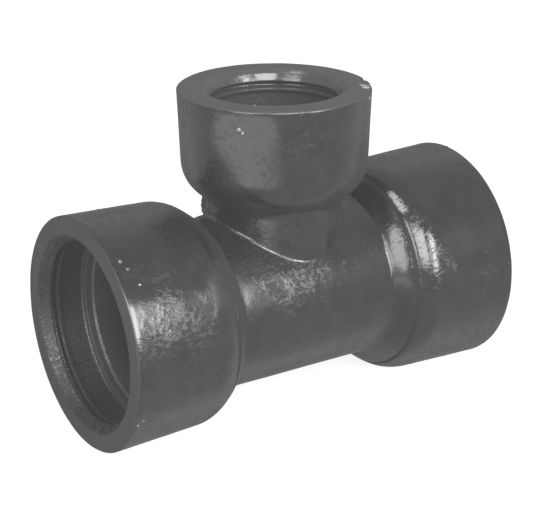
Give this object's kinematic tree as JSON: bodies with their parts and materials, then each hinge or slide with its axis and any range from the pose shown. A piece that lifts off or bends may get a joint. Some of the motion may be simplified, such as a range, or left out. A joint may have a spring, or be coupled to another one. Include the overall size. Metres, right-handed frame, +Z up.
{
  "type": "pipe tee",
  "caption": "Cast iron pipe tee: a straight run with a push-on socket at each end and a smaller socketed branch rising square from its middle.",
  "frame": {"origin": "below the crossing of the run and branch axes, level with the underside of the run's bells", "axes": "+X along the run, +Z up the branch"},
  "size_m": [0.434, 0.2298, 0.3248],
  "materials": {
    "coated_iron": "black coating over a sand-cast skin, speckled gloss"
  },
  "bodies": {
    "root": {"tee_casting": "coated_iron"}
  },
  "joints": []
}
